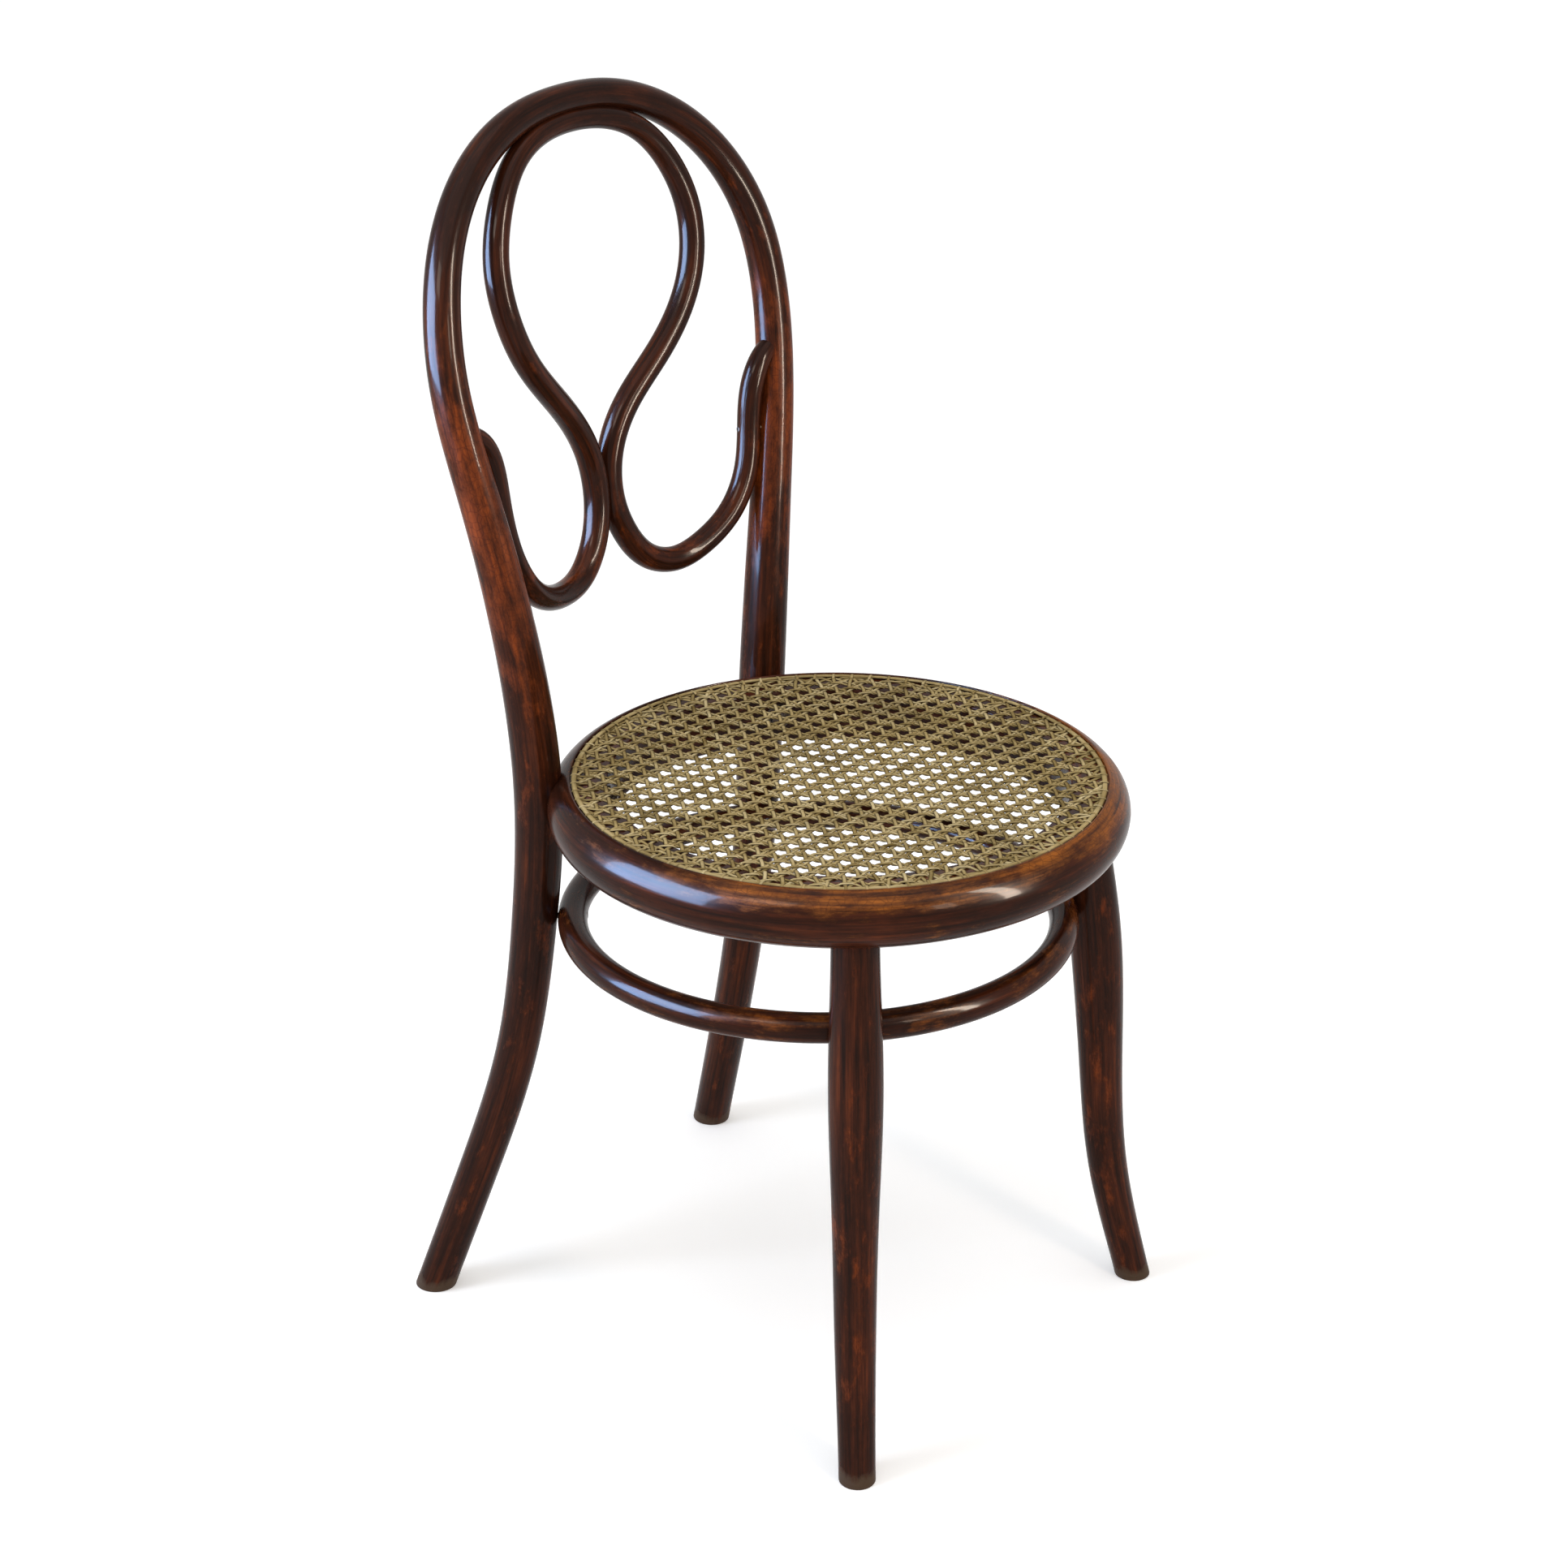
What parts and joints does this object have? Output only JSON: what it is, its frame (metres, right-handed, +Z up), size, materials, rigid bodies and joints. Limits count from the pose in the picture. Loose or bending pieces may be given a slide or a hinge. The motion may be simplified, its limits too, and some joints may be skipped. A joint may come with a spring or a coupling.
{
  "type": "bentwood dining chair",
  "caption": "Bentwood dining chair with a round woven cane seat, a hooped back holding a looped inner rod, flared round legs and a ring that braces them.",
  "frame": {"origin": "on the floor, under the centre of the chair's bounding box", "axes": "+Z up, -Y the front of the chair, +X to the right of someone facing along +Y from the front"},
  "size_m": [0.438, 0.505, 0.9453],
  "materials": {
    "bentwood": "dark walnut stain under worn gloss shellac",
    "cane": "aged natural cane, satin",
    "peg_wood": "plain",
    "screw_steel": "aged bright steel"
  },
  "bodies": {
    "root": {"seat_ring": "bentwood", "front_leg_right": "bentwood", "front_leg_left": "bentwood", "back_frame": "bentwood", "back_loop": "bentwood", "leg_ring": "bentwood", "cane_seat": "cane", "cane_binder": "cane", "cane_binder_ties": "cane", "cane_pegs": "peg_wood", "leg_ring_screw_front_right": "screw_steel", "leg_ring_screw_front_left": "screw_steel", "leg_ring_screw_rear_right": "screw_steel", "leg_ring_screw_rear_left": "screw_steel", "loop_end_screw_right": "screw_steel", "loop_end_screw_left": "screw_steel", "loop_top_screw": "screw_steel", "loop_clasp_screw": "screw_steel", "seat_coach_screw_right": "screw_steel", "seat_coach_screw_left": "screw_steel", "seat_washer_right": "screw_steel", "seat_washer_left": "screw_steel"}
  },
  "joints": []
}
